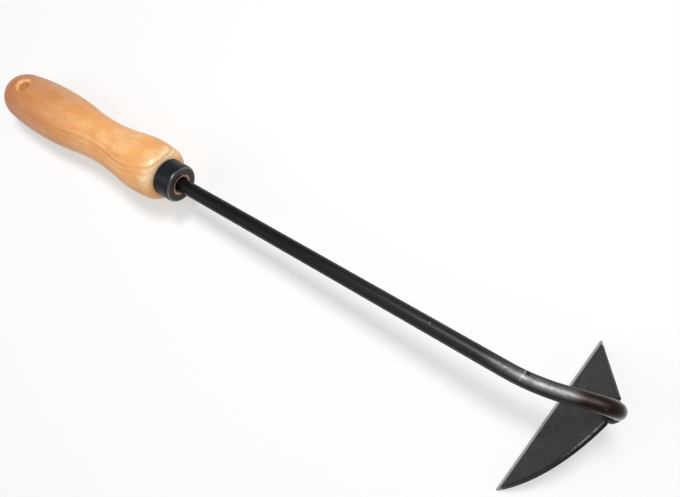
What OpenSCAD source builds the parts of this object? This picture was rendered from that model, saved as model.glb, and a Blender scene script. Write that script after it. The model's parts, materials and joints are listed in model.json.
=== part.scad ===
// Hand hoe: a turned wooden grip, a ferrule, one steel rod with an offset swan neck,
// and a forged blade welded to the end of the rod.
// The tool lies as it would on a bench, on the swell of its grip and on its cutting edge.
// +X runs from the grip to the blade, +Z is up, and the origin is under the middle of the box.

/* [Grip] */
// Length of the wooden grip from its butt to its front face
grip_l = 155; // [110:1:220]
// Diameter of the swell that fills the palm
butt_swell_d = 37.6; // [30:0.2:46]
// Distance of that swell from the butt
butt_swell_x = 46; // [45:1:60]
// Diameter of the waist between the two swells
waist_d = 30; // [24:0.2:34]
// Distance of the waist behind the front face
waist_back = 57; // [50:1:62]
// Diameter of the swell in front of the thumb
front_swell_d = 37.2; // [32:0.2:46]
// Distance of the front swell behind the front face
front_swell_back = 17; // [14:0.5:20]
// Radius of the curve from the palm swell back to the butt, seen from the side
butt_arc_r = 225; // [180:5:300]
// Share of the way from the palm swell to the waist that bulges, before the hollow
palm_share = 0.58; // [0.3:0.02:0.7]
// Share of the way from the front swell back to the waist that bulges
front_share = 0.34; // [0.2:0.02:0.7]
// Radius of the shoulder that turns in to the front face
shoulder_r = 5; // [3.5:0.5:6]

/* [Hang hole] */
// Diameter of the hole through the butt
hang_d = 8.4; // [6:0.2:10]
// Distance of the hole from the butt
hang_x = 23; // [20:0.5:32]
// Width and depth of the cone that eases each mouth of the hole
hang_ease = 2.4; // [1:0.1:3]
// Angle of the hole from the tool's up, turned towards the short side of the blade
hang_turn = 16; // [0:1:90]

/* [Ferrule] */
// Outside diameter of the ferrule
ferrule_d = 24.6; // [22:0.2:30]
// Length of the ferrule
ferrule_l = 13.2; // [12:0.2:22]
// Thickness of the lip that closes its front
lip_t = 2.4; // [1.5:0.1:4]
// Radius of its front rim
rim_r = 2.6; // [1:0.1:3]
// Radius of its back rim
back_rim_r = 0.8; // [0.4:0.1:1.2]
// Diameter of the wooden tenon inside the ferrule
tenon_d = 20; // [18:0.2:20.4]
// Diameter of the tenon's nose, which shows through the lip
nose_d = 14.2; // [13.6:0.2:17]
// Depth of the nose's end behind the front of the ferrule
nose_recess = 0.6; // [0.2:0.1:1.5]
// Gap around the tenon, on the radius
ferrule_fit = 0.05; // [0.02:0.01:0.1]

/* [Rod] */
// Diameter of the steel rod
rod_d = 9; // [7:0.2:11]
// Length of the tang that is set in the grip, from the front face of the wood
tang_l = 97; // [60:1:104]
// Length of the point at the end of the tang
tang_point_l = 12; // [8:1:16]
// Diameter of the end of that point
tang_point_d = 4; // [3:0.2:5]
// Gap around the tang, on the radius, which the glue fills
tang_fit = 0.1; // [0.05:0.01:0.2]
// Diameter of the eased mouth of the tang's bore
bore_mouth_d = 11.4; // [11.2:0.2:13]
// Depth of that eased mouth
bore_mouth_l = 5; // [2:0.5:8]
// Straight length of rod that shows in front of the ferrule
rod_l = 223; // [150:1:320]

/* [Neck] */
// Radius of the long sideways bend, on the middle of the rod
sweep_r = 119; // [70:1:200]
// Angle of the sideways bend
sweep_angle = 14.5; // [4:0.5:24]
// Straight length between the two bends
neck_l = 14.8; // [4:0.5:40]
// Radius of the turn down to the blade, on the middle of the rod
turn_r = 9.6; // [9:0.1:16]
// Angle of the turn down to the blade
turn_angle = 122; // [100:1:130]

/* [Blade] */
// Length of the cutting edge, from the square corner to the long point
blade_w = 102.4; // [80:1:140]
// Height of the blade from its cutting edge to the neck
blade_h = 46; // [34:0.5:56]
// Thickness of the plate
blade_t = 2.5; // [1.6:0.1:4]
// Distance of the neck from the square corner, along the edge
neck_x = 34.5; // [30:0.5:38]
// Angle of the short straight side to the cutting edge
heel_angle = 59; // [54:1:64]
// Radius of the curved back
back_r = 105; // [80:1:140]
// Half the width of the plate's top, where the neck stands
top_half = 7.5; // [5:0.25:9]
// Angle by which the long point trails back towards the hand
trail_angle = 5.4; // [0:0.2:10]
// Width of the ground bevel, on the inner face
bevel_w = 5.4; // [2:0.1:8]
// Thickness left at the cutting edge
edge_t = 0.9; // [0.2:0.1:1.2]
// Length lost from each point of the blade, where it is blunted
blunt = 0.5; // [0.2:0.1:1]
// Width of the broken corner along the sides of the inner face
break_w = 0.6; // [0.3:0.1:0.9]

/* [Weld] */
// Gap between the end of the rod and the top of the blade, which the weld fills
root_gap = 0.6; // [0.4:0.1:1.5]
// Greatest radius of the weld bead
bead_r = 6.4; // [5.5:0.1:8]
// Length of the bead on the rod
bead_up = 2.2; // [1:0.1:2.4]
// Length of the bead on the blade
bead_down = 6; // [4:0.5:8]

/* [Hidden] */

$fn = 96;
eps = 0.01;
wood = [0.87, 0.62, 0.36];
blued = [0.12, 0.14, 0.16];
black_steel = [0.2, 0.19, 0.19];
forged_steel = [0.26, 0.26, 0.27];
weld_metal = [0.34, 0.33, 0.32];

// Grip profile, as distances along the axis from the butt and radii from it
swell_r = butt_swell_d / 2;
hollow_r = waist_d / 2;
front_r = front_swell_d / 2;
waist_x = grip_l - waist_back;
front_swell_x = grip_l - front_swell_back;
// A swell and a hollow that meet smoothly: the sum of their radii follows from the run
// between them and the step between their radii from the axis. Radii and meeting places
// are kept to hundredths, so that what touches meets exactly
function hundredths(x) = round(100 * x) / 100;
function joint_radii(run, step) = (run * run + step * step) / (2 * step);
palm_run = waist_x - butt_swell_x;
front_run = front_swell_x - waist_x;
palm_sum = joint_radii(palm_run, swell_r - hollow_r);
front_sum = joint_radii(front_run, front_r - hollow_r);
palm_arc_r = hundredths(palm_share * palm_sum);
palm_hollow_r = hundredths((1 - palm_share) * palm_sum);
front_arc_r = hundredths(front_share * front_sum);
front_hollow_r = hundredths((1 - front_share) * front_sum);
palm_meet = hundredths(butt_swell_x + palm_share * palm_run);
front_meet = hundredths(front_swell_x - front_share * front_run);
// The butt is a ball that the butt's arc runs into smoothly
arc_off = butt_arc_r - swell_r;
ball_r = (pow(butt_arc_r, 2) - pow(arc_off, 2) - pow(butt_swell_x, 2))
    / (2 * (butt_arc_r - butt_swell_x));
ball_angle = atan2(arc_off, butt_swell_x - ball_r);
ball_meet = hundredths(ball_r - ball_r * cos(ball_angle));
// The ball, the hollows and the shoulder lie this much below the swells they run into
inset = 0.02;
// The shoulder is an arc that runs out of the front swell and into the front face
shoulder_x = grip_l - shoulder_r;
shoulder_run = shoulder_x - front_swell_x;
shoulder_off = sqrt(pow(front_arc_r - shoulder_r, 2) - pow(shoulder_run, 2));
shoulder_y = shoulder_off - (front_arc_r - front_r);
shoulder_meet = hundredths(front_swell_x + shoulder_run * front_arc_r / (front_arc_r - shoulder_r));

// Ferrule and rod, along the same axis
ferrule_front = grip_l + ferrule_l;
nose_end = ferrule_front - nose_recess;
tenon_l = ferrule_l - lip_t - ferrule_fit;
tang_end = grip_l - tang_l;
rod_r = rod_d / 2;
bore_r = rod_r + tang_fit;
// The rod thins a little where it is bent, and each bend runs this far into the straights
bend_r = rod_r - 0.02;
lap = 0.05;
neck_start = ferrule_front + rod_l;

// Neck: the directions along the rod after each bend, and where the rod ends
along = [cos(sweep_angle), sin(sweep_angle), 0];
turn_start = [neck_start, 0, 0]
    + sweep_r * [sin(sweep_angle), 1 - cos(sweep_angle), 0] + neck_l * along;
turn_mid = turn_start - [0, 0, turn_r];
down = cos(turn_angle) * along - [0, 0, sin(turn_angle)];
turn_end = turn_mid + turn_r * (sin(turn_angle) * along + [0, 0, cos(turn_angle)]);
blade_top = turn_end + root_gap * down;

// How the tool lies. The edge is level once it lies on the bench, so its direction
// follows from the pitch, and the pitch from where the edge is
function unit(v) = v / norm(v);
function edge_of(pitch) = unit([-sin(trail_angle), -cos(trail_angle), sin(trail_angle) * tan(pitch)]);
function fall_of(e) = unit(down - (down * e) * e);
function foot_of(e) = blade_top + blade_h * fall_of(e) - blade_t / 2 * cross(fall_of(e), e);
function pitch_of(foot) = acos(butt_arc_r / norm([foot.x - butt_swell_x, arc_off - foot.z]))
    - atan2(foot.x - butt_swell_x, arc_off - foot.z);
first_pitch = pitch_of(foot_of(edge_of(0)));
second_pitch = pitch_of(foot_of(edge_of(first_pitch)));
edge_dir = edge_of(second_pitch);
fall_dir = fall_of(edge_dir);
foot = foot_of(edge_dir);
pitch = pitch_of(foot);
face_dir = cross(fall_dir, edge_dir);
lean = asin(down * edge_dir);

// Blade outline, from the square corner along the edge and up towards the neck
heel = [cos(heel_angle), sin(heel_angle)];
top_dir = [cos(lean), sin(lean)];
top_mid = [neck_x, blade_h];
top_right = top_mid + top_half * top_dir;
// The curved back runs from the right of the top down to the long point
chord = [blade_w, 0] - top_right;
chord_l = norm(chord);
back_mid = top_right + chord / 2
    + sqrt(back_r * back_r - chord_l * chord_l / 4) * [chord.y, -chord.x] / chord_l;
bevel_angle = atan((blade_t - edge_t) / bevel_w);
// Directions into the blade that halve its two points
heel_half = heel_angle / 2;
point_half = (270 + atan2(-back_mid.y, blade_w - back_mid.x)) / 2;

// Weld bead: a cone up the rod, and a dome that runs down to the faces of the blade
dome_fall = bead_r - blade_t / 2;
dome_r = (dome_fall * dome_fall + bead_down * bead_down) / (2 * dome_fall);

// The box of the tool as it lies, for the origin
function lie_x(p) = p.x * cos(pitch) - p.z * sin(pitch);
function lie_z(p) = p.x * sin(pitch) + p.z * cos(pitch);
square_corner = foot - neck_x * edge_dir;
long_point = square_corner + blade_w * edge_dir;
low_x = lie_x([ball_r, 0, 0]) - ball_r;
high_x = lie_x(turn_mid) + rod_r
    + turn_r * norm([cos(pitch) * cos(sweep_angle), sin(pitch)]);
mid_x = (low_x + high_x) / 2;
mid_y = (square_corner.y + long_point.y) / 2;
lift = butt_arc_r - lie_z([butt_swell_x, 0, arc_off]);

// Puts the tool's own axes, with the rod along X, down on the bench
module lie() {
    translate([-mid_x, -mid_y, lift]) rotate([0, -pitch, 0]) children();
}

// Turns a profile drawn as [radius, distance along] about the X axis
module turned() {
    rotate([0, 90, 0]) rotate_extrude() children();
}

// A slice of the half plane right of the axis, between two distances
module band(from, to, r = 60) {
    translate([0, from]) square([r, to - from]);
}

// Part of the grip's side view that bulges: inside an arc that peaks at a swell
module bulge(from, to, r, peak_x, peak_r) {
    intersection() {
        translate([peak_r - r, peak_x]) circle(r, $fn = 720);
        band(from, to);
    }
}

// Part of the grip's side view that is hollow: outside an arc that is lowest at the waist
module hollow(from, to, r) {
    difference() {
        band(from, to, max(swell_r, front_r));
        translate([hollow_r + r, waist_x]) circle(r + inset, $fn = 720);
    }
}

// Side view of the grip's outside: ball, palm swell, waist, front swell and shoulder
module grip_profile() {
    intersection() {
        translate([0, ball_r]) circle(ball_r - inset);
        band(0, ball_meet);
    }
    bulge(ball_meet, butt_swell_x, butt_arc_r, butt_swell_x, swell_r);
    bulge(butt_swell_x, palm_meet, palm_arc_r, butt_swell_x, swell_r);
    hollow(palm_meet, waist_x, palm_hollow_r);
    hollow(waist_x, front_meet, front_hollow_r);
    bulge(front_meet, shoulder_meet, front_arc_r, front_swell_x, front_r);
    intersection() {
        union() {
            translate([shoulder_y, shoulder_x]) circle(shoulder_r - inset);
            band(shoulder_meet, grip_l, shoulder_y);
        }
        band(shoulder_meet, grip_l);
    }
}

// The hole for hanging the tool up, square to the grip, with an eased cone at each mouth
module hang_hole() {
    hang_r = hang_d / 2;
    wall_r = sqrt(pow(butt_arc_r, 2) - pow(butt_swell_x - hang_x, 2)) - arc_off;
    translate([hang_x, 0, 0]) rotate([-hang_turn, 0, 0]) {
        cylinder(r = hang_r, h = 3 * swell_r, center = true);
        for (side = [0, 180])
            rotate([side, 0, 0])
                translate([0, 0, wall_r - hang_ease])
                    cylinder(r1 = hang_r, r2 = hang_r + 2 * hang_ease, h = 2 * hang_ease);
    }
}

// Turned wooden grip, with the tenon for the ferrule and the bore for the tang
module grip() {
    color(wood) lie() difference() {
        union() {
            turned() grip_profile();
            translate([grip_l - eps, 0, 0]) rotate([0, 90, 0])
                cylinder(d = tenon_d, h = tenon_l + eps);
            translate([grip_l, 0, 0]) rotate([0, 90, 0])
                cylinder(d = nose_d, h = nose_end - grip_l);
        }
        translate([tang_end + tang_point_l, 0, 0]) rotate([0, 90, 0])
            cylinder(r = bore_r, h = tang_l + ferrule_l);
        translate([tang_end - tang_fit, 0, 0]) rotate([0, 90, 0])
            cylinder(r1 = tang_point_d / 2 + tang_fit, r2 = bore_r, h = tang_point_l + tang_fit);
        translate([nose_end - bore_mouth_l, 0, 0]) rotate([0, 90, 0])
            cylinder(d = bore_mouth_d, h = bore_mouth_l + eps);
        hang_hole();
    }
}

// Collar over the tenon, closed in front by a lip around the tenon's nose
module ferrule() {
    outer_r = ferrule_d / 2;
    color(blued) lie() translate([grip_l, 0, 0]) turned() difference() {
        union() {
            band(back_rim_r, ferrule_l - rim_r, outer_r);
            band(0, ferrule_l, outer_r - rim_r);
            band(0, back_rim_r, outer_r - back_rim_r);
            translate([outer_r - rim_r, ferrule_l - rim_r]) circle(rim_r);
            translate([outer_r - back_rim_r, back_rim_r]) circle(back_rim_r);
        }
        band(-eps, ferrule_l - lip_t, tenon_d / 2 + ferrule_fit);
        band(-eps, ferrule_l + eps, nose_d / 2 + ferrule_fit);
    }
}

// A bend of the rod, round the Z axis
module bend(r, from, to) {
    over = lap / r * 180 / PI;
    rotate_extrude(angle = to - from + 2 * over, start = from - over)
        translate([r, 0]) circle(bend_r);
}

// The turn down to the blade
module turn() {
    translate(turn_start) rotate([0, 0, sweep_angle]) translate([0, 0, -turn_r])
        rotate([90, 0, 0]) bend(turn_r, 90 - turn_angle, 90);
}

// One steel rod: pointed tang, straight shank, sideways bend and turn down to the blade
module shaft() {
    color(black_steel) lie() {
        translate([tang_end, 0, 0]) rotate([0, 90, 0])
            cylinder(d1 = tang_point_d, d2 = rod_d, h = tang_point_l);
        translate([tang_end + tang_point_l, 0, 0]) rotate([0, 90, 0])
            cylinder(r = rod_r, h = neck_start - tang_end - tang_point_l);
        translate([neck_start, sweep_r, 0]) bend(sweep_r, -90, sweep_angle - 90);
        translate(turn_start) rotate([0, 0, sweep_angle]) {
            translate([-neck_l, 0, 0]) rotate([0, 90, 0]) cylinder(r = rod_r, h = neck_l);
        }
        turn();
    }
}

// Puts the blade's own axes on the tool: X along the edge, Y up the plate, Z out of its inner face
module on_blade() {
    multmatrix([
        [edge_dir.x, -fall_dir.x, face_dir.x, square_corner.x],
        [edge_dir.y, -fall_dir.y, face_dir.y, square_corner.y],
        [edge_dir.z, -fall_dir.z, face_dir.z, square_corner.z],
        [0, 0, 0, 1]
    ]) children();
}

// The plate before it is ground: a straight side, a short top and a curved back
module plate() {
    reach = 2 * blade_w;
    intersection() {
        linear_extrude(blade_t) polygon([[0, 0], reach * heel, [reach, reach], [reach, 0]]);
        translate([top_mid.x, top_mid.y, 0]) rotate([0, 0, lean])
            translate([-reach, -reach, 0]) cube([2 * reach, reach, blade_t]);
        translate([back_mid.x, back_mid.y, 0]) cylinder(r = back_r, h = blade_t, $fn = 360);
    }
}

// Forged blade: one straight side, a curved back and a bevel ground on the inner face
module blade() {
    color(forged_steel) lie() on_blade() difference() {
        intersection() {
            plate();
            translate([back_mid.x, back_mid.y, 0])
                cylinder(r1 = back_r + blade_t - break_w, r2 = back_r - break_w, h = blade_t, $fn = 360);
        }
        translate([-blade_w, 0, edge_t]) rotate([bevel_angle, 0, 0])
            translate([0, -blade_t, 0]) cube([3 * blade_w, bevel_w + 3 * blade_t, 2 * blade_t]);
        for (point = [[0, heel_half], [blade_w, point_half]])
            translate([point[0], 0, -eps]) rotate([0, 0, point[1]])
                translate([-blade_t, -blade_t, 0])
                    cube([blade_t + blunt, 2 * blade_t, blade_t + 2 * eps]);
        translate([0, 0, blade_t - break_w]) rotate([0, 0, heel_angle]) rotate([-45, 0, 0])
            translate([-blade_w, -blade_w, 0]) cube([3 * blade_w, 2 * blade_w, 2 * blade_t]);
    }
}

// Weld bead round the end of the rod, through the gap and over the top of the blade
module neck_weld() {
    color(weld_metal) lie() difference() {
        translate(turn_start) rotate([0, 0, sweep_angle]) translate([0, 0, -turn_r])
            rotate([0, turn_angle, 0]) translate([root_gap / 2, 0, turn_r]) turned() {
                polygon([[0, -bead_up], [rod_r + 0.5, -bead_up], [bead_r, 0], [0, 0]]);
                intersection() {
                    translate([bead_r - dome_r, 0]) circle(dome_r);
                    band(0, bead_down);
                }
            }
        turn();
        on_blade() plate();
    }
}

grip();
ferrule();
shaft();
blade();
neck_weld();
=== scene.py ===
"""Looks, studio and camera of a one-handed garden hoe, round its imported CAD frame.

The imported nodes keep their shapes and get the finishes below. The weld at the neck is
modelled again here with its run of beads. Places come from the mounts of the record.
A finish gives its places in millimetres along its piece's own axes, unless it says metres.
"""

from __future__ import annotations

import json
import logging
import math
from dataclasses import dataclass, field
from enum import Enum
from typing import Mapping, Optional, Sequence, Union

import bpy
from mathutils import Euler, Matrix, Vector

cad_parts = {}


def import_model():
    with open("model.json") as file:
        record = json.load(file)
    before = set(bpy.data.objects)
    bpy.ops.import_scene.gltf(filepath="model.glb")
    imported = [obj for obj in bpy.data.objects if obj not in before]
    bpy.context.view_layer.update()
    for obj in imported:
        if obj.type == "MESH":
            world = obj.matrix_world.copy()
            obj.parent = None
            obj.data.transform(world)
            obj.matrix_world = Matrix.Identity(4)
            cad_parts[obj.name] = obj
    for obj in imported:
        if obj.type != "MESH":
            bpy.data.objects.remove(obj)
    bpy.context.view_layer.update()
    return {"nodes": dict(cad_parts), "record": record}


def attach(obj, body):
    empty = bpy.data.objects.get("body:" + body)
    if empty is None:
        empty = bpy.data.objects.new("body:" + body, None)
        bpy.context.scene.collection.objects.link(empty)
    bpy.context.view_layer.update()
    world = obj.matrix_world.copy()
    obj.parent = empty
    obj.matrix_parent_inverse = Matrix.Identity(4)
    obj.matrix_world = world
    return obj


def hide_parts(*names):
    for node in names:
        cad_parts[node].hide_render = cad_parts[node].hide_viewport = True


log = logging.getLogger("hand_hoe")

MM = 0.001
BODY = "root"
PALM_FROM_BUTT = 80.0
RIM_BLEND = 0.5
WHITE = (1.0, 1.0, 1.0)

Colour = tuple[float, float, float]
Point = tuple[float, float, float]
Span = tuple[float, float]
Socket = bpy.types.NodeSocket
Value = Union[float, Sequence[float], Socket]


class Slot(Enum):
    """Material slots of the record."""

    WOOD = "ash_wood"
    PAINT = "ferrule_steel"
    ROD = "black_rod"
    BLADE = "forged_blade"
    WELD = "weld_metal"


class Node(Enum):
    """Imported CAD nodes."""

    GRIP = "grip"
    FERRULE = "ferrule"
    SHAFT = "shaft"
    BLADE = "blade"
    WELD = "neck_weld"


class Graph:
    """Adds nodes to one shader tree and joins them."""

    def __init__(self, tree: bpy.types.NodeTree) -> None:
        """Starts on a tree that may already hold nodes."""
        self.tree = tree

    def node(
        self,
        kind: str,
        feeds: Optional[Mapping[Union[str, int], Value]] = None,
        **settings: object,
    ) -> bpy.types.Node:
        """Adds a node.

        Args:
            kind: Blender's name of the node type.
            feeds: Input name or number, and the value or socket that it takes.
            settings: Properties of the node.

        Returns:
            The new node.
        """
        made = self.tree.nodes.new(kind)
        for name, value in settings.items():
            setattr(made, name, value)
        for key, value in (feeds or {}).items():
            self.feed(made.inputs[key], value)
        return made

    def feed(self, socket: Socket, value: Value) -> None:
        """Links a socket to an input, or writes a plain value in it."""
        if isinstance(value, bpy.types.NodeSocket):
            self.tree.links.new(value, socket)
        elif socket.type == "RGBA" and len(value) == 3:
            socket.default_value = (*value, 1.0)
        else:
            socket.default_value = value

    def math(self, operation: str, a: Value, b: Value = 0.0, c: Value = 0.0) -> Socket:
        """One step of arithmetic.

        Args:
            operation: Name of the Math node's operation.
            a: First number.
            b: Second number, where the operation has one.
            c: Third number, where the operation has one.

        Returns:
            The result's socket.
        """
        return self.node("ShaderNodeMath", {0: a, 1: b, 2: c}, operation=operation).outputs[0]

    def times(self, first: Value, *others: Value) -> Value:
        """The product of two or more numbers."""
        product = first
        for other in others:
            product = self.math("MULTIPLY", product, other)
        return product

    def plus(self, base: Value, value: Value, share: float = 1.0) -> Socket:
        """A number with a share of another added to it."""
        return self.math("MULTIPLY_ADD", value, share, base)

    def less(self, a: Value, b: Value) -> Socket:
        """The first number less the second."""
        return self.math("SUBTRACT", a, b)

    def larger(self, a: Value, b: Value) -> Socket:
        """The larger of two numbers."""
        return self.math("MAXIMUM", a, b)

    def step(self, value: Value, span: Span, levels: Span = (0.0, 1.0)) -> Socket:
        """A soft step from one level to another as a value crosses a span.

        Args:
            value: The number that decides.
            span: Where the step starts and where it ends, rising or falling.
            levels: The levels at the span's start and end.

        Returns:
            The level's socket.
        """
        (low, to_low), (high, to_high) = sorted(zip(span, levels))
        feeds = {
            "Value": value,
            "From Min": low,
            "From Max": high,
            "To Min": to_low,
            "To Max": to_high,
        }
        return self.node("ShaderNodeMapRange", feeds, interpolation_type="SMOOTHSTEP").outputs[0]

    def band(self, value: Value, middle: float, half: float, soft: float) -> Socket:
        """1 within half of the middle, falling to 0 over a soft border."""
        off = self.math("ABSOLUTE", self.less(value, middle))
        return self.step(off, (half + soft, half))

    def mix(self, factor: Value, a: Value, b: Value, blend: str = "MIX") -> Socket:
        """Mixes two colours.

        Args:
            factor: Share of the second colour.
            a: First colour.
            b: Second colour.
            blend: Name of the blend.

        Returns:
            The mixed colour's socket.
        """
        feeds = {0: factor, 6: a, 7: b}
        return self.node("ShaderNodeMix", feeds, data_type="RGBA", blend_type=blend).outputs[2]

    def split(self, vector: Value) -> tuple[Socket, Socket, Socket]:
        """The three parts of a vector."""
        made = self.node("ShaderNodeSeparateXYZ", {0: vector})
        return made.outputs[0], made.outputs[1], made.outputs[2]

    def join(self, x: Value = 0.0, y: Value = 0.0, z: Value = 0.0) -> Socket:
        """A vector made of three parts."""
        return self.node("ShaderNodeCombineXYZ", {0: x, 1: y, 2: z}).outputs[0]

    def scaled(self, vector: Value, by: Point, offset: Value = (0.0, 0.0, 0.0)) -> Socket:
        """A vector with each part multiplied, then moved."""
        feeds = {0: vector, 1: by, 2: offset}
        return self.node("ShaderNodeVectorMath", feeds, operation="MULTIPLY_ADD").outputs[0]

    def distance(self, vector: Value, point: Point) -> Socket:
        """How far a vector is from a fixed point."""
        feeds = {0: vector, 1: point}
        return self.node("ShaderNodeVectorMath", feeds, operation="DISTANCE").outputs["Value"]

    def facing(self, direction: Sequence[float], kind: str = "Normal") -> Socket:
        """How far a normal of the surface, of a kind, points in a direction, at most 1."""
        feeds = {0: self.node("ShaderNodeNewGeometry").outputs[kind], 1: direction}
        return self.node("ShaderNodeVectorMath", feeds, operation="DOT_PRODUCT").outputs["Value"]

    def turned_away(self) -> Socket:
        """0 where the surface faces the viewer, rising to 1 at its rim."""
        return self.node("ShaderNodeLayerWeight", {"Blend": RIM_BLEND}).outputs["Facing"]

    def here(self) -> Socket:
        """Object coordinates, in metres."""
        return self.node("ShaderNodeTexCoord").outputs["Object"]

    def noise(
        self,
        vector: Value,
        scale: Value = 1.0,
        detail: float = 2.0,
        roughness: float = 0.5,
        distortion: float = 0.0,
        output: str = "Fac",
    ) -> Socket:
        """Cloudy noise.

        Args:
            vector: Where it is read.
            scale: Blotches per unit.
            detail: How many finer layers it has.
            roughness: How strong the finer layers are.
            distortion: How much it swirls.
            output: "Fac" for a number round 0.5, or "Color" for three.

        Returns:
            The noise's socket.
        """
        feeds = {
            "Vector": vector,
            "Scale": scale,
            "Detail": detail,
            "Roughness": roughness,
            "Distortion": distortion,
        }
        return self.node("ShaderNodeTexNoise", feeds).outputs[output]

    def group(self, tree: bpy.types.NodeTree, **feeds: Value) -> bpy.types.Node:
        """Places a shared effect, whose inputs are fed by name."""
        return self.node("ShaderNodeGroup", feeds, node_tree=tree)


def shared_effect(
    name: str, inputs: Mapping[str, Value], outputs: Sequence[str]
) -> tuple[Graph, bpy.types.Node, bpy.types.Node]:
    """Starts a shader node group.

    Args:
        name: The effect's name.
        inputs: Each input's name and usual value; three numbers make a vector.
        outputs: Names of the outputs, which are all numbers.

    Returns:
        A graph on the group's tree, its input node and its output node.
    """
    tree = bpy.data.node_groups.new(name, "ShaderNodeTree")
    for label, usual in inputs.items():
        kind = "NodeSocketVector" if isinstance(usual, tuple) else "NodeSocketFloat"
        made = tree.interface.new_socket(label, in_out="INPUT", socket_type=kind)
        made.default_value = usual
    for label in outputs:
        tree.interface.new_socket(label, in_out="OUTPUT", socket_type="NodeSocketFloat")
    graph = Graph(tree)
    return graph, graph.node("NodeGroupInput"), graph.node("NodeGroupOutput")


def mottle_effect() -> bpy.types.NodeTree:
    """Blotches and fine grain, as on forged, oiled or painted steel.

    Returns:
        The group, with a Tone that swings round 0.5 and a Height with small pits in it.
    """
    blotch_share, grain_share = 0.45, 0.55
    pit_rim, pitted = (0.28, 0.05), (0.48, 0.66)
    usual = {"Vector": (0.0, 0.0, 0.0), "Blotch": 0.1, "Grain": 1.0, "Pits": 0.5}
    graph, given, out = shared_effect("steel_mottle", usual, ("Tone", "Height"))
    vector = given.outputs["Vector"]
    blotch = graph.noise(vector, given.outputs["Blotch"], 3.0, 0.6, 0.4)
    grain = graph.noise(vector, given.outputs["Grain"], 4.0, 0.65)
    tone = graph.plus(graph.times(blotch, blotch_share), grain, grain_share)
    feeds = {"Vector": vector, "Scale": given.outputs["Grain"]}
    cells = graph.node("ShaderNodeTexVoronoi", feeds)
    pit = graph.step(cells.outputs["Distance"], pit_rim)
    deep = graph.times(pit, graph.step(blotch, pitted), given.outputs["Pits"])
    graph.feed(out.inputs["Tone"], tone)
    graph.feed(out.inputs["Height"], graph.less(grain, deep))
    return graph.tree


def streak_effect() -> bpy.types.NodeTree:
    """Fine lines along the first axis, as of wood fibre, drawn bar or grinding.

    Returns:
        The group, with a Mask that swings round 0.5 and sparse Dashes of 1.
    """
    dash_offset, dash_scale, dash_from = (31.7, 8.3, 17.1), 0.9, (0.6, 0.68)
    usual = {"Vector": (0.0, 0.0, 0.0), "Length": 10.0, "Width": 0.5}
    graph, given, out = shared_effect("long_streaks", usual, ("Mask", "Dashes"))
    along, across, up = graph.split(given.outputs["Vector"])
    length, width = given.outputs["Length"], given.outputs["Width"]
    stretched = graph.join(
        graph.math("DIVIDE", along, length),
        graph.math("DIVIDE", across, width),
        graph.math("DIVIDE", up, width),
    )
    elsewhere = graph.scaled(stretched, (1.0, 1.0, 1.0), dash_offset)
    dash = graph.noise(elsewhere, dash_scale, 1.0, 0.4)
    graph.feed(out.inputs["Mask"], graph.noise(stretched, 1.0, 3.0, 0.6))
    graph.feed(out.inputs["Dashes"], graph.step(dash, dash_from))
    return graph.tree


@dataclass(frozen=True)
class Place:
    """A piece's own axes in the shared frame, in metres."""

    origin: Vector
    along: Vector
    up: Vector

    @property
    def across(self) -> Vector:
        """The third axis, square to the other two."""
        return self.up.cross(self.along)

    def at(self, along: float, across: float, up: float) -> Vector:
        """A point given in millimetres along the piece's axes."""
        return self.origin + MM * (along * self.along + across * self.across + up * self.up)

    def vector(self, graph: Graph) -> Socket:
        """Object coordinates in millimetres along the piece's axes.

        Args:
            graph: The graph of the material that reads them.

        Returns:
            The coordinates' socket.
        """
        axes = Matrix((self.along, self.across, self.up))
        feeds = {
            "Vector": graph.here(),
            "Location": -(axes @ self.origin) / MM,
            "Rotation": axes.to_euler(),
            "Scale": (1 / MM, 1 / MM, 1 / MM),
        }
        return graph.node("ShaderNodeMapping", feeds, vector_type="POINT").outputs[0]


@dataclass(frozen=True)
class Effects:
    """Groups that more than one finish uses."""

    mottle: bpy.types.NodeTree = field(default_factory=mottle_effect)
    streaks: bpy.types.NodeTree = field(default_factory=streak_effect)


def blank(
    slot: Slot, settings: Mapping[str, float]
) -> tuple[bpy.types.Material, Graph, bpy.types.Node]:
    """Starts a material with one Principled shader.

    Args:
        slot: The slot that names the material.
        settings: Plain values for the shader's own sockets.

    Returns:
        The material, a graph on its tree and the shader.
    """
    made = bpy.data.materials.new(slot.value)
    made.use_nodes = True
    made.node_tree.nodes.clear()
    graph = Graph(made.node_tree)
    shader = graph.node("ShaderNodeBsdfPrincipled", settings)
    graph.node("ShaderNodeOutputMaterial", {"Surface": shader.outputs[0]})
    return made, graph, shader


def raise_grain(
    graph: Graph, shader: bpy.types.Node, height: Value, strength: float, depth: float
) -> None:
    """Feeds a height to a shader's normal.

    Args:
        graph: The material's graph.
        shader: The Principled shader.
        height: The height's socket.
        strength: How strongly it shows, from 0 to 1.
        depth: Depth of the relief, in millimetres.
    """
    feeds = {"Strength": strength, "Distance": depth * MM, "Height": height}
    graph.feed(shader.inputs["Normal"], graph.node("ShaderNodeBump", feeds).outputs[0])


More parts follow.
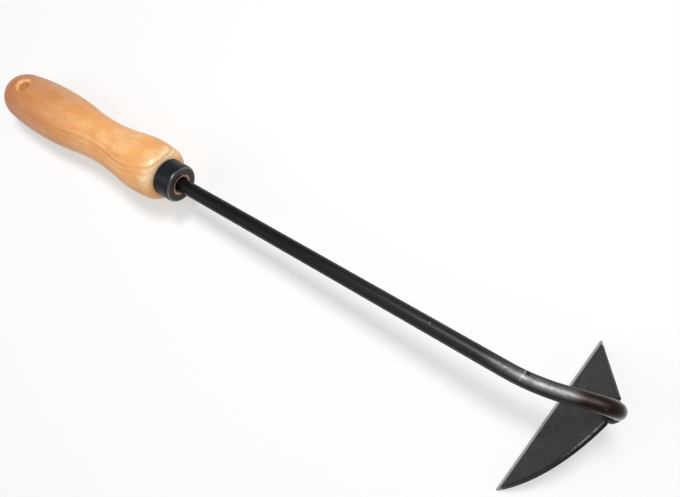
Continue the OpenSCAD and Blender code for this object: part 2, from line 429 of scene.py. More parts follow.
@dataclass(frozen=True)
class LacqueredAsh:
    """Turned ash under clear lacquer, its year rings cut at a tangent on top.

    The first axis runs from the butt and the third up through the hanging hole. The lacquer
    fades at the rims, where it would mirror the white table.
    """

    early: Colour = (0.93, 0.52, 0.222)
    rich: Colour = (0.86, 0.38, 0.114)
    late: Colour = (0.62, 0.26, 0.085)
    pore: Colour = (0.45, 0.18, 0.065)
    red: Colour = (0.44, 0.137, 0.051)
    # Pale sapwood at the front shoulder. It is laid more strongly on the upper side as a painted
    # highlight.
    sapwood_highlight: Colour = (0.99, 0.76, 0.46)
    nose: Colour = (0.46, 0.285, 0.205)
    # The hole's mouth is partly the cut wood's colour and partly a painted highlight for a wider
    # eased mouth. The next colour is painted shade deeper in the hole.
    bore_and_highlight: Colour = (0.97, 0.55, 0.24)
    bore_shade: Colour = (0.82, 0.4, 0.17)
    specular: float = 0.16
    lacquer_roughness: float = 0.22
    lacquer_ior: float = 1.45
    lacquer_rim: Span = (0.35, 0.85)
    lacquer: Span = (0.5, 0.0)
    drift_scale: Point = (0.022, 0.05, 0.05)
    drift_swirl: float = 0.6
    cloud_scale: Point = (0.085, 0.13, 0.13)
    cloud_swirl: float = 0.35
    rich_drift: Span = (0.44, 0.66)
    rich_cloud: Span = (0.42, 0.74)
    rich_share: float = 0.85
    cloud_shift: float = 14.0
    arc_x: float = 146.0
    arc_half: float = 2.0
    arc_soft: float = 7.0
    arc_rise: Span = (2.0, 12.0)
    arc_share: Span = (0.0, 0.6)
    sapwood_highlight_x: Span = (151.0, 163.0)
    highlight_rise: Span = (0.0, 12.0)
    highlight_share: Span = (0.05, 0.9)
    pith_depth: float = 62.0
    pith_side: float = 6.0
    bark_side: float = 19.6
    sway_scale: Point = (0.011, 0.03, 0.03)
    sway: Point = (0.0, 9.0, 5.5)
    run_out_x: Span = (118.0, 156.0)
    run_out: float = 4.5
    first_ring: float = 4.0
    tightening: float = 1.3
    ring_noise: float = 0.3
    ring_swing: float = 0.9
    line_rise: Span = (0.4, 0.92)
    line_fall: Span = (1.0, 0.95)
    faintest_line: float = 0.28
    line_swing: float = 0.5
    front_lines_x: Span = (120.0, 142.0)
    front_lines: Span = (1.0, 0.8)
    clear_cloud: Span = (0.36, 0.5)
    clear_lines: Span = (0.45, 1.0)
    fibre_length: float = 16.0
    fibre_width: float = 0.5
    fibre_mask: Span = (0.3, 0.7)
    fibre_tone: Span = (0.88, 1.06)
    fibre_swing: Span = (0.25, 0.75)
    roughness: Span = (0.34, 0.46)
    pore_length: float = 3.4
    pore_width: float = 0.22
    pore_phase: Span = (0.45, 0.1)
    pore_share: float = 0.55
    drift_shift: float = 30.0
    red_x: Span = (125.0, 55.0)
    red_share: Span = (0.0, 0.55)
    butt_x: Span = (60.0, 10.0)
    butt_share: Span = (0.0, 0.42)
    hang_x: float = 23.0
    bore_mouth: Span = (6.6, 4.4)
    bore_shade_z: Span = (11.0, 3.0)
    bore_share: Span = (0.0, 0.85)
    nose_x: Span = (159.0, 162.0)
    fibre_relief: float = 0.4
    pore_relief: float = 0.5
    line_relief: float = 0.25

    def material(self, place: Place, effects: Effects) -> bpy.types.Material:
        """Makes the wood.

        Args:
            place: The grip's axes, from its butt, with up square to the broad face.
            effects: Shared groups.

        Returns:
            The material.
        """
        settings = {
            "Metallic": 0.0,
            "Specular IOR Level": self.specular,
            "Coat Roughness": self.lacquer_roughness,
            "Coat IOR": self.lacquer_ior,
        }
        made, graph, shader = blank(Slot.WOOD, settings)
        where = place.vector(graph)
        x, _, z = graph.split(where)
        drift = graph.noise(graph.scaled(where, self.drift_scale), distortion=self.drift_swirl)
        clouds = graph.noise(graph.scaled(where, self.cloud_scale), distortion=self.cloud_swirl)
        colour = self._ground(graph, x, z, drift, clouds)
        turns, phase = self._rings(graph, where)
        line = self._year_lines(graph, turns, phase, x, clouds)
        colour = graph.mix(line, colour, self.late)
        fibre = graph.group(
            effects.streaks, Vector=where, Length=self.fibre_length, Width=self.fibre_width
        ).outputs["Mask"]
        shade = graph.step(fibre, self.fibre_mask, self.fibre_tone)
        colour = graph.mix(1.0, colour, shade, "MULTIPLY")
        dashes = graph.group(
            effects.streaks, Vector=where, Length=self.pore_length, Width=self.pore_width
        ).outputs["Dashes"]
        pores = graph.times(dashes, graph.step(phase, self.pore_phase))
        colour = graph.mix(graph.times(pores, self.pore_share), colour, self.pore)
        from_butt = graph.plus(x, drift, self.drift_shift)
        reddened = graph.step(from_butt, self.red_x, self.red_share)
        reddened = graph.plus(reddened, graph.step(from_butt, self.butt_x, self.butt_share))
        colour = graph.mix(reddened, colour, self.red)
        colour = self._with_bore(graph, where, colour)
        colour = graph.mix(graph.step(x, self.nose_x), colour, self.nose)
        graph.feed(shader.inputs["Base Color"], colour)
        rough = graph.step(fibre, self.fibre_swing, self.roughness)
        graph.feed(shader.inputs["Roughness"], rough)
        lacquer = graph.step(graph.turned_away(), self.lacquer_rim, self.lacquer)
        graph.feed(shader.inputs["Coat Weight"], lacquer)
        relief = graph.times(fibre, self.fibre_relief)
        relief = graph.less(relief, graph.times(pores, self.pore_relief))
        relief = graph.less(relief, graph.times(line, self.line_relief))
        raise_grain(graph, shader, relief, 0.22, 0.12)
        return made

    def _ground(
        self, graph: Graph, x: Socket, z: Socket, drift: Socket, clouds: Socket
    ) -> Socket:
        """The wood's ground colour: cloudy gold, a rich arc, and pale sapwood at the ferrule,
        laid strongest on its upper side as a painted highlight.

        Args:
            graph: The material's graph.
            x: Millimetres from the butt.
            z: Millimetres up from the grip's middle.
            drift: Long, slow noise.
            clouds: Shorter noise.

        Returns:
            The colour's socket.
        """
        glow = graph.larger(
            graph.step(drift, self.rich_drift), graph.step(clouds, self.rich_cloud)
        )
        colour = graph.mix(graph.times(glow, self.rich_share), self.early, self.rich)
        uneven_x = graph.plus(x, clouds, self.cloud_shift)
        arc = graph.band(uneven_x, self.arc_x, self.arc_half, self.arc_soft)
        arc = graph.times(arc, graph.step(z, self.arc_rise, self.arc_share))
        colour = graph.mix(arc, colour, self.rich)
        # Partly pale sapwood near the ferrule, and mostly a painted highlight on its upper side.
        sapwood_highlight_mask = graph.times(
            graph.step(uneven_x, self.sapwood_highlight_x),
            graph.step(z, self.highlight_rise, self.highlight_share),
        )
        return graph.mix(sapwood_highlight_mask, colour, self.sapwood_highlight)

    def _rings(self, graph: Graph, where: Socket) -> tuple[Socket, Socket]:
        """Counts year rings out from a pith under the grip.

        Args:
            graph: The material's graph.
            where: The grip's own coordinates.

        Returns:
            How many rings out a point is, and how far through its ring.
        """
        swaying = graph.noise(
            graph.scaled(where, self.sway_scale), roughness=0.45, output="Color"
        )
        x, y, z = graph.split(graph.scaled(swaying, self.sway, where))
        pith = (0.0, -self.pith_side, -self.pith_depth)
        radius = graph.distance(graph.join(y=y, z=z), pith)
        depth = graph.less(self.pith_depth + self.bark_side, radius)
        depth = graph.plus(depth, graph.step(x, self.run_out_x, (0.0, self.run_out)))
        depth = graph.larger(depth, 0.0)
        turns = graph.math("DIVIDE", depth, self.first_ring)
        turns = graph.math("POWER", turns, self.tightening)
        uneven = graph.noise(graph.join(x=depth), self.ring_noise, 1.0)
        turns = graph.plus(turns, uneven, self.ring_swing)
        return turns, graph.less(1.0, graph.math("FRACT", turns))

    def _year_lines(
        self, graph: Graph, turns: Socket, phase: Socket, x: Socket, clouds: Socket
    ) -> Socket:
        """Late wood at each ring's border, stronger in some years.

        Args:
            graph: The material's graph.
            turns: How many rings out a point is.
            phase: How far through its ring it is.
            x: Millimetres from the butt.
            clouds: Noise that breaks the lines.

        Returns:
            A mask of the lines.
        """
        year = {"W": graph.math("FLOOR", turns)}
        chance = graph.node("ShaderNodeTexWhiteNoise", year, noise_dimensions="1D")
        return graph.times(
            graph.step(phase, self.line_rise),
            graph.step(phase, self.line_fall),
            graph.plus(self.faintest_line, chance.outputs["Value"], self.line_swing),
            graph.step(x, self.front_lines_x, self.front_lines),
            graph.step(clouds, self.clear_cloud, self.clear_lines),
        )

    def _with_bore(self, graph: Graph, where: Socket, colour: Socket) -> Socket:
        """The hanging hole and its mouth in pale cut wood, lighter as a painted highlight on a
        wider mouth than the shape has, with painted shade deeper inside.

        Args:
            graph: The material's graph.
            where: The grip's own coordinates.
            colour: The wood's colour round it.

        Returns:
            The colour with the hole in it.
        """
        x, y, z = graph.split(where)
        aside = graph.less(x, self.hang_x)
        radius = graph.math("MULTIPLY_ADD", aside, aside, graph.times(y, y))
        radius = graph.math("SQRT", radius)
        # Painted shade deeper in the hole, under a pale ring that is partly cut wood and partly a
        # painted highlight.
        inside = graph.mix(graph.step(z, self.bore_shade_z), self.bore_and_highlight, self.bore_shade)
        return graph.mix(graph.step(radius, self.bore_mouth, self.bore_share), colour, inside)


@dataclass(frozen=True)
class SatinPaint:
    """Blue-black satin paint on the turned ferrule, worn on its lip."""

    deep: Colour = (0.0065, 0.0075, 0.0105)
    dusty: Colour = (0.016, 0.0175, 0.022)
    worn: Colour = (0.17, 0.165, 0.17)
    bare_face: Colour = (0.04, 0.031, 0.03)
    specular: float = 0.17
    dusty_tone: Span = (0.38, 0.66)
    face_x: Span = (167.7, 168.1)
    lip_x: float = 167.4
    lip_half: float = 0.25
    lip_soft: float = 0.35
    lip_tone: Span = (0.3, 0.5)
    lip_share: Span = (0.35, 1.0)
    lip_metal: float = 0.8
    lip_polish: float = -0.12
    rough_tone: Span = (0.35, 0.68)
    roughness: Span = (0.32, 0.42)

    def material(self, place: Place, effects: Effects) -> bpy.types.Material:
        """Makes the paint.

        Args:
            place: The grip's axes, from its butt.
            effects: Shared groups.

        Returns:
            The material.
        """
        made, graph, shader = blank(Slot.PAINT, {"Specular IOR Level": self.specular})
        where = place.vector(graph)
        x, _, _ = graph.split(where)
        mottle = graph.group(effects.mottle, Vector=where, Blotch=0.16, Grain=1.1, Pits=0.3)
        tone = mottle.outputs["Tone"]
        colour = graph.mix(graph.step(tone, self.dusty_tone), self.deep, self.dusty)
        colour = graph.mix(graph.step(x, self.face_x), colour, self.bare_face)
        lip = graph.band(x, self.lip_x, self.lip_half, self.lip_soft)
        lip = graph.times(lip, graph.step(tone, self.lip_tone, self.lip_share))
        colour = graph.mix(lip, colour, self.worn)
        graph.feed(shader.inputs["Base Color"], colour)
        graph.feed(shader.inputs["Metallic"], graph.times(lip, self.lip_metal))
        rough = graph.step(tone, self.rough_tone, self.roughness)
        graph.feed(shader.inputs["Roughness"], graph.plus(rough, lip, self.lip_polish))
        raise_grain(graph, shader, mottle.outputs["Height"], 0.2, 0.08)
        return made


@dataclass(frozen=True)
class BlackenedBar:
    """Black bar, grey and rubbed lighter on top before its bend, where the lighter patch is also
    a painted highlight, brown and oiled at the neck.

    The first axis runs from the butt. The scratch, the painted shade of a dent and the marks have
    their places and sizes in metres in the shared frame.
    """

    black: Colour = (0.004, 0.0035, 0.0032)
    grey: Colour = (0.042, 0.039, 0.041)
    # Lighter steel on top before the bend: partly rubbed, partly a painted highlight.
    rubbed_highlight: Colour = (0.27, 0.26, 0.266)
    heat: Colour = (0.032, 0.0235, 0.0195)
    bare: Colour = (0.36, 0.33, 0.295)
    # Painted shade of a small dent beside the scratch.
    dent_shade: Colour = (0.012, 0.0105, 0.01)
    specular: float = 0.2
    oil_roughness: float = 0.25
    oil_x: Span = (421.0, 440.0)
    oil_rim: Span = (0.45, 0.8)
    oil: Span = (0.0, 0.8)
    grey_x: Span = (240.0, 400.0)
    grey_metal: float = 0.9
    rubbed_highlight_x: float = 413.0
    rubbed_highlight_half: float = 5.0
    rubbed_highlight_soft: float = 34.0
    rubbed_highlight_tone: Span = (0.36, 0.64)
    rubbed_highlight_share: Span = (0.45, 1.0)
    # Halfway between the ways to the camera and to the key lamp, so the patch lies under the
    # highlight.
    highlight_facing: Point = (-0.09, 0.1, 0.99)
    rubbed_highlight_side: Span = (0.66, 0.95)
    heat_x: Span = (421.0, 431.0)
    heat_tone: Span = (0.3, 0.5)
    heat_share: Span = (0.7, 1.0)
    dent_shade_at: Point = (0.1757, 0.0088, 0.057)
    dent_shade_radius: Span = (0.0016, 0.0006)
    dent_shade_share: Span = (0.0, 0.85)
    marks: tuple[Point, ...] = ((0.1217, 0.0066, 0.0527), (0.2129, 0.012, 0.0606))
    mark_radius: Span = (0.0005, 0.0001)
    mark_share: Span = (0.0, 0.7)
    scratch_x: float = 0.1733
    scratch_slant: float = -0.07
    scratch_width: Span = (0.00055, 0.0002)
    scratch_tone: Span = (0.36, 0.54)
    scratch_share: Span = (0.35, 1.0)
    scratch_z: Span = (0.0535, 0.0555)
    scratch_y: Span = (0.003, 0.0042)
    rough_tone: Span = (0.36, 0.66)
    roughness: Span = (0.46, 0.33)
    heat_roughness: float = -0.02
    grey_roughness: float = 0.05
    worn_roughness: float = 0.08
    drawn_relief: float = 1.2

    def material(self, place: Place, effects: Effects) -> bpy.types.Material:
        """Makes the blackened steel.

        Args:
            place: The grip's axes, from its butt, which the bar shares.
            effects: Shared groups.

        Returns:
            The material.
        """
        settings = {
            "Specular IOR Level": self.specular,
            "Coat Roughness": self.oil_roughness,
        }
        made, graph, shader = blank(Slot.ROD, settings)
        where = place.vector(graph)
        x, _, _ = graph.split(where)
        mottle = graph.group(effects.mottle, Vector=where, Blotch=0.3, Grain=1.5, Pits=1.0)
        tone = mottle.outputs["Tone"]
        towards_bend = graph.step(x, self.grey_x)
        rubbed_highlight = self._rubbed_highlight(graph, x, tone)
        warm = graph.times(
            graph.step(x, self.heat_x), graph.step(tone, self.heat_tone, self.heat_share)
        )
        world = graph.here()
        # Painted shade of a small dent: a dark spot with no shape of its own.
        dent_shade_mask = graph.distance(world, self.dent_shade_at)
        dent_shade_mask = graph.step(dent_shade_mask, self.dent_shade_radius, self.dent_shade_share)
        bare = self._bare_steel(graph, world, tone)
        colour = graph.mix(towards_bend, self.black, self.grey)
        # Rubbed steel on top before the bend, which is also a painted highlight facing the key
        # lamp.
        colour = graph.mix(rubbed_highlight, colour, self.rubbed_highlight)
        colour = graph.mix(warm, colour, self.heat)
        colour = graph.mix(dent_shade_mask, colour, self.dent_shade)
        colour = graph.mix(bare, colour, self.bare)
        graph.feed(shader.inputs["Base Color"], colour)
        graph.feed(shader.inputs["Metallic"], graph.times(towards_bend, self.grey_metal))
        rough = graph.step(tone, self.rough_tone, self.roughness)
        rough = graph.plus(rough, warm, self.heat_roughness)
        rough = graph.plus(rough, towards_bend, self.grey_roughness)
        rough = graph.plus(rough, graph.larger(rubbed_highlight, bare), self.worn_roughness)
        graph.feed(shader.inputs["Roughness"], rough)
        oiled = graph.times(
            graph.step(x, self.oil_x), graph.step(graph.turned_away(), self.oil_rim, self.oil)
        )
        graph.feed(shader.inputs["Coat Weight"], oiled)
        drawn = graph.group(effects.streaks, Vector=where, Length=14.0, Width=0.3)
        relief = graph.plus(mottle.outputs["Height"], drawn.outputs["Mask"], self.drawn_relief)
        raise_grain(graph, shader, relief, 0.45, 0.08)
        return made

    def _rubbed_highlight(self, graph: Graph, x: Socket, tone: Socket) -> Socket:
        """Where use has rubbed the bar's upper side before the bend, laid where the key lamp's
        highlight falls, so it is partly a painted highlight.

        Args:
            graph: The material's graph.
            x: Millimetres from the butt.
            tone: The mottle's tone.

        Returns:
            A mask of the rubbed steel and painted highlight.
        """
        return graph.times(
            graph.step(tone, self.rubbed_highlight_tone, self.rubbed_highlight_share),
            graph.band(x, self.rubbed_highlight_x, self.rubbed_highlight_half, self.rubbed_highlight_soft),
            graph.step(graph.facing(self.highlight_facing), self.rubbed_highlight_side),
        )

    def _bare_steel(self, graph: Graph, world: Socket, tone: Socket) -> Socket:
        """A thin scratch part of the way round the bar, broken by chips, and two small marks.

        Args:
            graph: The material's graph.
            world: Object coordinates, in metres.
            tone: The mottle's tone.

        Returns:
            A mask of the bare steel.
        """
        x, y, z = graph.split(world)
        slant = graph.plus(x, y, self.scratch_slant)
        off = graph.math("ABSOLUTE", graph.less(slant, self.scratch_x))
        bare = graph.times(
            graph.step(off, self.scratch_width),
            graph.step(tone, self.scratch_tone, self.scratch_share),
            graph.step(z, self.scratch_z),
            graph.step(y, self.scratch_y),
        )
        for mark in self.marks:
            away = graph.distance(world, mark)
            bare = graph.larger(bare, graph.step(away, self.mark_radius, self.mark_share))
        return bare


@dataclass(frozen=True)
class ForgedSteel:
    """Charcoal forged plate with a ground bevel and a bright worn break.

    The first axis runs along the edge to the blade's point, the second up the plate and the
    third up out of its inner face.
    """

    charcoal: Colour = (0.009, 0.0085, 0.0096)
    scale: Colour = (0.018, 0.0175, 0.0192)
    ground: Colour = (0.37, 0.37, 0.38)
    worn: Colour = (0.2, 0.19, 0.18)
    bruise: Colour = (0.0155, 0.0095, 0.0105)
    specular: float = 0.24
    scale_tone: Span = (0.4, 0.64)
    bruise_at: Point = (4.0, 24.0, 2.5)
    bruise_radius: Span = (20.0, 5.0)
    bruise_share: Span = (0.0, 0.8)
    bevel_y: Span = (5.4, 5.15)
    bevel_out: Span = (0.15, 0.3)
    bevel_polish: float = -0.24
    break_slope: float = 0.707
    break_half: float = 0.1
    break_soft: float = 0.02
    break_tone: Span = (0.38, 0.52)
    worn_from: Span = (-13.0, -10.0)
    worn_to: Span = (19.0, 4.0)
    grinding_length: float = 9.0
    grinding_width: float = 0.3
    grinding_mask: Span = (0.3, 0.7)
    dull_y: Span = (1.2, 6.0)
    dull_share: Span = (0.0, 0.8)
    bright_metal: float = 0.7
    rough_tone: Span = (0.36, 0.66)
    roughness: Span = (0.52, 0.38)

    def material(self, place: Place, effects: Effects) -> bpy.types.Material:
        """Makes the blade's steel.

        Args:
            place: The blade's axes: along the edge, up out of its inner face.
            effects: Shared groups.

        Returns:
            The material.
        """
        made, graph, shader = blank(Slot.BLADE, {"Specular IOR Level": self.specular})
        where = place.vector(graph)
        along, height, out = graph.split(where)
        mottle = graph.group(effects.mottle, Vector=where, Blotch=0.12, Grain=0.9, Pits=0.8)
        tone = mottle.outputs["Tone"]
        colour = graph.mix(graph.step(tone, self.scale_tone), self.charcoal, self.scale)
        bruised = graph.distance(where, self.bruise_at)
        bruised = graph.step(bruised, self.bruise_radius, self.bruise_share)
        colour = graph.mix(bruised, colour, self.bruise)
        bevel = graph.times(graph.step(height, self.bevel_y), graph.step(out, self.bevel_out))
        colour = graph.mix(bevel, colour, self._grinding(graph, where, height, effects))
        slope = graph.facing(place.up, "True Normal")
        worn = graph.times(
            graph.band(slope, self.break_slope, self.break_half, self.break_soft),
            graph.step(tone, self.break_tone),
            graph.step(along, self.worn_from),
            graph.step(along, self.worn_to),
        )
        colour = graph.mix(worn, colour, self.worn)
        graph.feed(shader.inputs["Base Color"], colour)
        bright = graph.times(graph.larger(bevel, worn), self.bright_metal)
        graph.feed(shader.inputs["Metallic"], bright)
        rough = graph.step(tone, self.rough_tone, self.roughness)
        graph.feed(shader.inputs["Roughness"], graph.plus(rough, bevel, self.bevel_polish))
        raise_grain(graph, shader, mottle.outputs["Height"], 0.4, 0.12)
        return made

    def _grinding(
        self, graph: Graph, where: Socket, height: Socket, effects: Effects
    ) -> Socket:
        """The bevel's steel, ground across the edge and duller away from it.

        Args:
            graph: The material's graph.
            where: The blade's own coordinates.
            height: Millimetres up from the edge.
            effects: Shared groups.

        Returns:
            The colour's socket.
        """
        feeds = {"Vector": where, "Angle": math.pi / 2}
        turned = graph.node("ShaderNodeVectorRotate", feeds, rotation_type="Z_AXIS").outputs[0]
        lines = graph.group(
            effects.streaks, Vector=turned, Length=self.grinding_length, Width=self.grinding_width
        ).outputs["Mask"]
        dull = graph.larger(
            graph.step(lines, self.grinding_mask),
            graph.step(height, self.dull_y, self.dull_share),
        )
        return graph.mix(dull, self.ground, self.scale)


@dataclass(frozen=True)
class WeldMetal:
    """Dark weld with rust in its hollows and a few brighter crests."""

    dark: Colour = (0.006, 0.0052, 0.0048)
    crest: Colour = (0.04, 0.037, 0.035)
    rust: Colour = (0.026, 0.014, 0.009)
    specular: float = 0.3
    crest_tone: Span = (0.45, 0.68)
    rust_tone: Span = (0.42, 0.3)
    rust_share: Span = (0.0, 0.7)
    rough_tone: Span = (0.36, 0.66)
    roughness: Span = (0.56, 0.32)

    def material(self, place: Place, effects: Effects) -> bpy.types.Material:
        """Makes the weld's steel.

        Args:
            place: The blade's axes.
            effects: Shared groups.

        Returns:
            The material.
        """
        made, graph, shader = blank(Slot.WELD, {"Specular IOR Level": self.specular})
        where = place.vector(graph)
        mottle = graph.group(effects.mottle, Vector=where, Blotch=0.35, Grain=2.2, Pits=1.0)
        tone = mottle.outputs["Tone"]
        colour = graph.mix(graph.step(tone, self.crest_tone), self.dark, self.crest)
        rusty = graph.step(tone, self.rust_tone, self.rust_share)
        graph.feed(shader.inputs["Base Color"], graph.mix(rusty, colour, self.rust))
        rough = graph.step(tone, self.rough_tone, self.roughness)
        graph.feed(shader.inputs["Roughness"], rough)
        raise_grain(graph, shader, mottle.outputs["Height"], 0.5, 0.15)
        return made


def deselect() -> None:
    """Leaves nothing selected, so that an operator acts on the new piece alone."""
    bpy.ops.object.select_all(action="DESELECT")


def pick(pieces: Sequence[bpy.types.Object]) -> None:
    """Selects some pieces alone, and makes the first of them the active one."""
    deselect()
    for piece in pieces:
        piece.select_set(True)
    bpy.context.view_layer.objects.active = pieces[0]


def dress(piece: bpy.types.Object, material: bpy.types.Material) -> None:
    """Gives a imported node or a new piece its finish."""
    if not piece.material_slots:
        piece.data.materials.append(material)
    for held in piece.material_slots:
        held.material = material


@dataclass
class Handle:
    """The grip and its ferrule."""

    wood: LacqueredAsh = field(default_factory=LacqueredAsh)
    paint: SatinPaint = field(default_factory=SatinPaint)

    def build(
        self, nodes: Mapping[str, bpy.types.Object], place: Place, effects: Effects
    ) -> None:
        """Dresses both nodes.

        Args:
            nodes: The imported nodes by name.
            place: The grip's axes.
            effects: Shared groups.
        """
        dress(nodes[Node.GRIP.value], self.wood.material(place, effects))
        dress(nodes[Node.FERRULE.value], self.paint.material(place, effects))
        log.info("handle: grip and ferrule dressed")


@dataclass
class Rod:
    """The bent bar from the grip to the blade."""

    finish: BlackenedBar = field(default_factory=BlackenedBar)

    def build(
        self, nodes: Mapping[str, bpy.types.Object], place: Place, effects: Effects
    ) -> None:
        """Dresses the bar.

        Args:
            nodes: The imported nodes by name.
            place: The grip's axes, which the bar shares.
            effects: Shared groups.
        """
        dress(nodes[Node.SHAFT.value], self.finish.material(place, effects))
        log.info("rod: dressed")


@dataclass
class Blade:
    """The forged blade and the weld that holds it, in millimetres."""

    height: float = 46.0
    neck_aside: float = -16.7
    thickness: float = 2.5
    steel: ForgedSteel = field(default_factory=ForgedSteel)
    weld: WeldMetal = field(default_factory=WeldMetal)
    merge: float = 0.01
    beads: int = 15
    bead_radius: float = 1.7
    bead_segments: int = 16
    bead_rings: int = 10
    run_radius: float = 4.7
    run_saddle: float = 0.45
    voxel: float = 0.32
    ease_rounds: int = 3
    lump_size: float = 2.4
    lump_middle: float = 0.45
    ripple: float = 0.35

    def build(
        self, nodes: Mapping[str, bpy.types.Object], place: Place, effects: Effects
    ) -> None:
        """Dresses the blade and models the weld.

        Args:
            nodes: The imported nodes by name.
            place: The blade's axes, from the middle of its edge.
            effects: Shared groups.
        """
        dress(nodes[Node.BLADE.value], self.steel.material(place, effects))
        piece = self._heart(nodes[Node.WELD.value])
        self._melt(piece, self._lay_beads(place))
        dress(piece, self.weld.material(place, effects))
        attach(piece, BODY)
        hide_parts(Node.WELD.value)
        log.info("blade: dressed, weld has %d faces", len(piece.data.polygons))

    def _heart(self, core: bpy.types.Object) -> bpy.types.Object:
        """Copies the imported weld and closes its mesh.

        Args:
            core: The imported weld.

        Returns:
            The copy, which is the heart of the run of beads.
        """
        piece = core.copy()
        piece.data = core.data.copy()
        piece.name = "weld_run"
        piece.parent = None
        for key in list(piece.keys()):
            del piece[key]
        bpy.context.scene.collection.objects.link(piece)
        pick([piece])
        bpy.ops.object.mode_set(mode="EDIT")
        bpy.ops.mesh.select_all(action="SELECT")
        bpy.ops.mesh.remove_doubles(threshold=self.merge * MM)
        bpy.ops.object.mode_set(mode="OBJECT")
        return piece

    def _lay_beads(self, place: Place) -> list[bpy.types.Object]:
        """Models one bead, copies it and lays the copies round the neck.

        Args:
            place: The blade's axes.

        Returns:
            The beads, each with its own mesh.
        """
        deselect()
        bpy.ops.mesh.primitive_uv_sphere_add(
            segments=self.bead_segments,
            ring_count=self.bead_rings,
            radius=self.bead_radius * MM,
        )
        beads = [bpy.context.active_object]
        for _ in range(1, self.beads):
            bead = beads[0].copy()
            bead.data = beads[0].data.copy()
            bpy.context.scene.collection.objects.link(bead)
            beads.append(bead)
        middle = place.at(self.neck_aside, self.height, self.thickness / 2)
        for number, bead in enumerate(beads):
            angle = 2 * math.pi * number / self.beads
            rise = self.run_saddle * math.cos(2 * angle)
            aside = math.cos(angle) * place.along + math.sin(angle) * place.up
            bead.location = middle + MM * (self.run_radius * aside + rise * place.across)
        bpy.context.view_layer.update()
        return beads

    def _melt(self, piece: bpy.types.Object, beads: Sequence[bpy.types.Object]) -> None:
        """Melts the beads into the heart as one closed, slightly lumpy mesh.

        Args:
            piece: The heart, which becomes the whole weld.
            beads: The beads, which are used up.
        """
        pick([piece, *beads])
        bpy.ops.object.join()
        melt = piece.modifiers.new("melt", "REMESH")
        melt.mode = "VOXEL"
        melt.voxel_size = self.voxel * MM
        ease = piece.modifiers.new("ease", "SMOOTH")
        ease.iterations = self.ease_rounds
        lumps = bpy.data.textures.new("weld_lumps", "CLOUDS")
        lumps.noise_scale = self.lump_size * MM
        swell = piece.modifiers.new("swell", "DISPLACE")
        swell.texture = lumps
        swell.texture_coords = "LOCAL"
        swell.mid_level = self.lump_middle
        swell.strength = self.ripple * MM
        for modifier in [held.name for held in piece.modifiers]:
            bpy.ops.object.modifier_apply(modifier=modifier)
        bpy.ops.object.shade_smooth()


@dataclass(frozen=True)
class Lamp:
    """A square studio lamp, in metres and watts."""

    name: str
    at: Point
    aim: Point
    side: float
    power: float

    def build(self) -> None:
        """Adds the lamp."""
        data = bpy.data.lights.new(self.name, "AREA")
        data.shape = "SQUARE"
        data.size = self.side
        data.energy = self.power
        made = bpy.data.objects.new(self.name, data)
        made.location = self.at
        direction = Vector(self.aim) - Vector(self.at)
        made.rotation_euler = direction.to_track_quat("-Z", "Y").to_euler()
        bpy.context.scene.collection.objects.link(made)


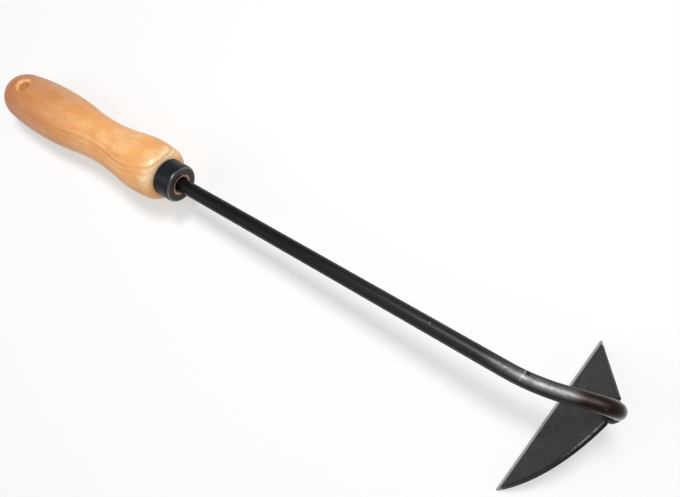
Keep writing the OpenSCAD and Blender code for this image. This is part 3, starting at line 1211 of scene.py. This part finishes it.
@dataclass
class Studio:
    """Pale table, soft lamps, a dim room and the camera, in metres."""

    lamps: tuple[Lamp, ...] = (
        Lamp("key_lamp", (0.05, 0.27, 1.05), (0.02, 0.0, 0.02), 0.24, 7.7),
        Lamp("fill_lamp", (-0.75, -0.65, 0.9), (0.0, 0.0, 0.0), 0.9, 3.7),
        Lamp("side_lamp", (0.46, 0.14, 0.92), (-0.06, 0.0, 0.02), 0.36, 2.4),
    )
    table_side: float = 24.0
    table: Colour = (0.88, 0.88, 0.88)
    table_fade: Span = (0.27, 0.75)
    table_glow: Span = (0.5, 1.0)
    wall_top: Span = (0.12, 0.6)
    room: Span = (0.4, 0.16)
    camera_at: Point = (0.161989, -0.022042, 0.389704)
    camera_turn: Point = (13.6171, 11.7095, 32.0612)
    focal_px: float = 649.997
    centre_px: Span = (332.925, 256.259)
    picture: tuple[int, int] = (680, 497)
    sensor: float = 36.0
    near_clip: float = 0.01

    def build(self) -> None:
        """Builds the whole studio."""
        self._camera()
        for lamp in self.lamps:
            lamp.build()
        self._table()
        self._room()
        log.info("studio: %d lamps", len(self.lamps))

    def _camera(self) -> None:
        """Adds the camera at the photograph's angle."""
        data = bpy.data.cameras.new("photo_camera")
        wide, high = self.picture
        data.sensor_fit = "HORIZONTAL"
        data.sensor_width = self.sensor
        data.lens = self.focal_px / wide * self.sensor
        data.shift_x = (wide / 2 - self.centre_px[0]) / wide
        data.shift_y = (self.centre_px[1] - high / 2) / wide
        data.clip_start = self.near_clip
        made = bpy.data.objects.new("photo_camera", data)
        made.location = self.camera_at
        made.rotation_euler = Euler([math.radians(turn) for turn in self.camera_turn])
        bpy.context.scene.collection.objects.link(made)
        bpy.context.scene.camera = made

    def _background_rays(self, graph: Graph) -> Socket:
        """1 for rays that show the background, directly, mirrored or through glass."""
        path = graph.node("ShaderNodeLightPath").outputs
        seen = graph.larger(path["Is Camera Ray"], path["Is Glossy Ray"])
        return graph.larger(seen, path["Is Transmission Ray"])

    def _table(self) -> None:
        """Adds the table top, which looks white and keeps a soft shadow round the hoe."""
        deselect()
        bpy.ops.mesh.primitive_plane_add(size=self.table_side, location=(0, 0, 0))
        top = bpy.context.active_object
        top.name = "table_top"
        made = bpy.data.materials.new("table_white")
        made.use_nodes = True
        made.node_tree.nodes.clear()
        graph = Graph(made.node_tree)
        matt = graph.node("ShaderNodeBsdfDiffuse", {"Color": self.table})
        glow = graph.node("ShaderNodeEmission", {"Color": WHITE, "Strength": 1.0})
        away = graph.distance(graph.here(), (0.0, 0.0, 0.0))
        glowing = graph.step(away, self.table_fade, self.table_glow)
        share = graph.times(self._background_rays(graph), glowing)
        feeds = {0: share, 1: matt.outputs[0], 2: glow.outputs[0]}
        mixed = graph.node("ShaderNodeMixShader", feeds)
        graph.node("ShaderNodeOutputMaterial", {"Surface": mixed.outputs[0]})
        top.data.materials.append(made)

    def _room(self) -> None:
        """Sets a dim room, which the camera itself sees as white."""
        world = bpy.data.worlds.new("pale_room")
        world.use_nodes = True
        world.node_tree.nodes.clear()
        graph = Graph(world.node_tree)
        _, _, rise = graph.split(graph.node("ShaderNodeTexCoord").outputs["Generated"])
        level = graph.step(rise, self.wall_top, self.room)
        seen = graph.node("ShaderNodeLightPath").outputs["Is Camera Ray"]
        feeds = {"Color": WHITE, "Strength": graph.larger(level, seen)}
        room = graph.node("ShaderNodeBackground", feeds)
        graph.node("ShaderNodeOutputWorld", {"Surface": room.outputs[0]})
        bpy.context.scene.world = world


def grip_place(mounts: Mapping[str, Mapping]) -> Place:
    """The grip's axes, from its butt.

    Args:
        mounts: The record's mounts by name.

    Returns:
        The place, along the handle and up through the hanging hole.
    """
    palm, hole = mounts["palm"], mounts["hang_hole"]
    along = -Vector(palm["axis"]).normalized()
    butt = Vector(palm["pos_m"]) - PALM_FROM_BUTT * MM * along
    up = Vector(hole["axis"])
    up = (up - up.dot(along) * along).normalized()
    return Place(butt, along, up)


def blade_place(mounts: Mapping[str, Mapping]) -> Place:
    """The blade's axes, from the middle of its cutting edge.

    Args:
        mounts: The record's mounts by name.

    Returns:
        The place: along the edge to its point, across up the plate, up out of the inner face.
    """
    edge = mounts["cutting_edge"]
    fall = Vector(edge["axis"]).normalized()
    along = Vector((0, 0, 1)).cross(fall).normalized()
    inner = fall.cross(along)
    return Place(Vector(edge["pos_m"]), along, inner)


def main() -> None:
    """Builds the hoe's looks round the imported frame."""
    logging.basicConfig(level=logging.INFO, format="%(name)s: %(message)s")
    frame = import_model()
    scene = bpy.context.scene
    scene.view_settings.view_transform = "Standard"
    mounts = {mount["name"]: mount for mount in frame["record"]["mounts"]}
    effects = Effects()
    grip, blade = grip_place(mounts), blade_place(mounts)
    Studio().build()
    Handle().build(frame["nodes"], grip, effects)
    Rod().build(frame["nodes"], grip, effects)
    Blade().build(frame["nodes"], blade, effects)


if __name__ == "__main__":
    main()
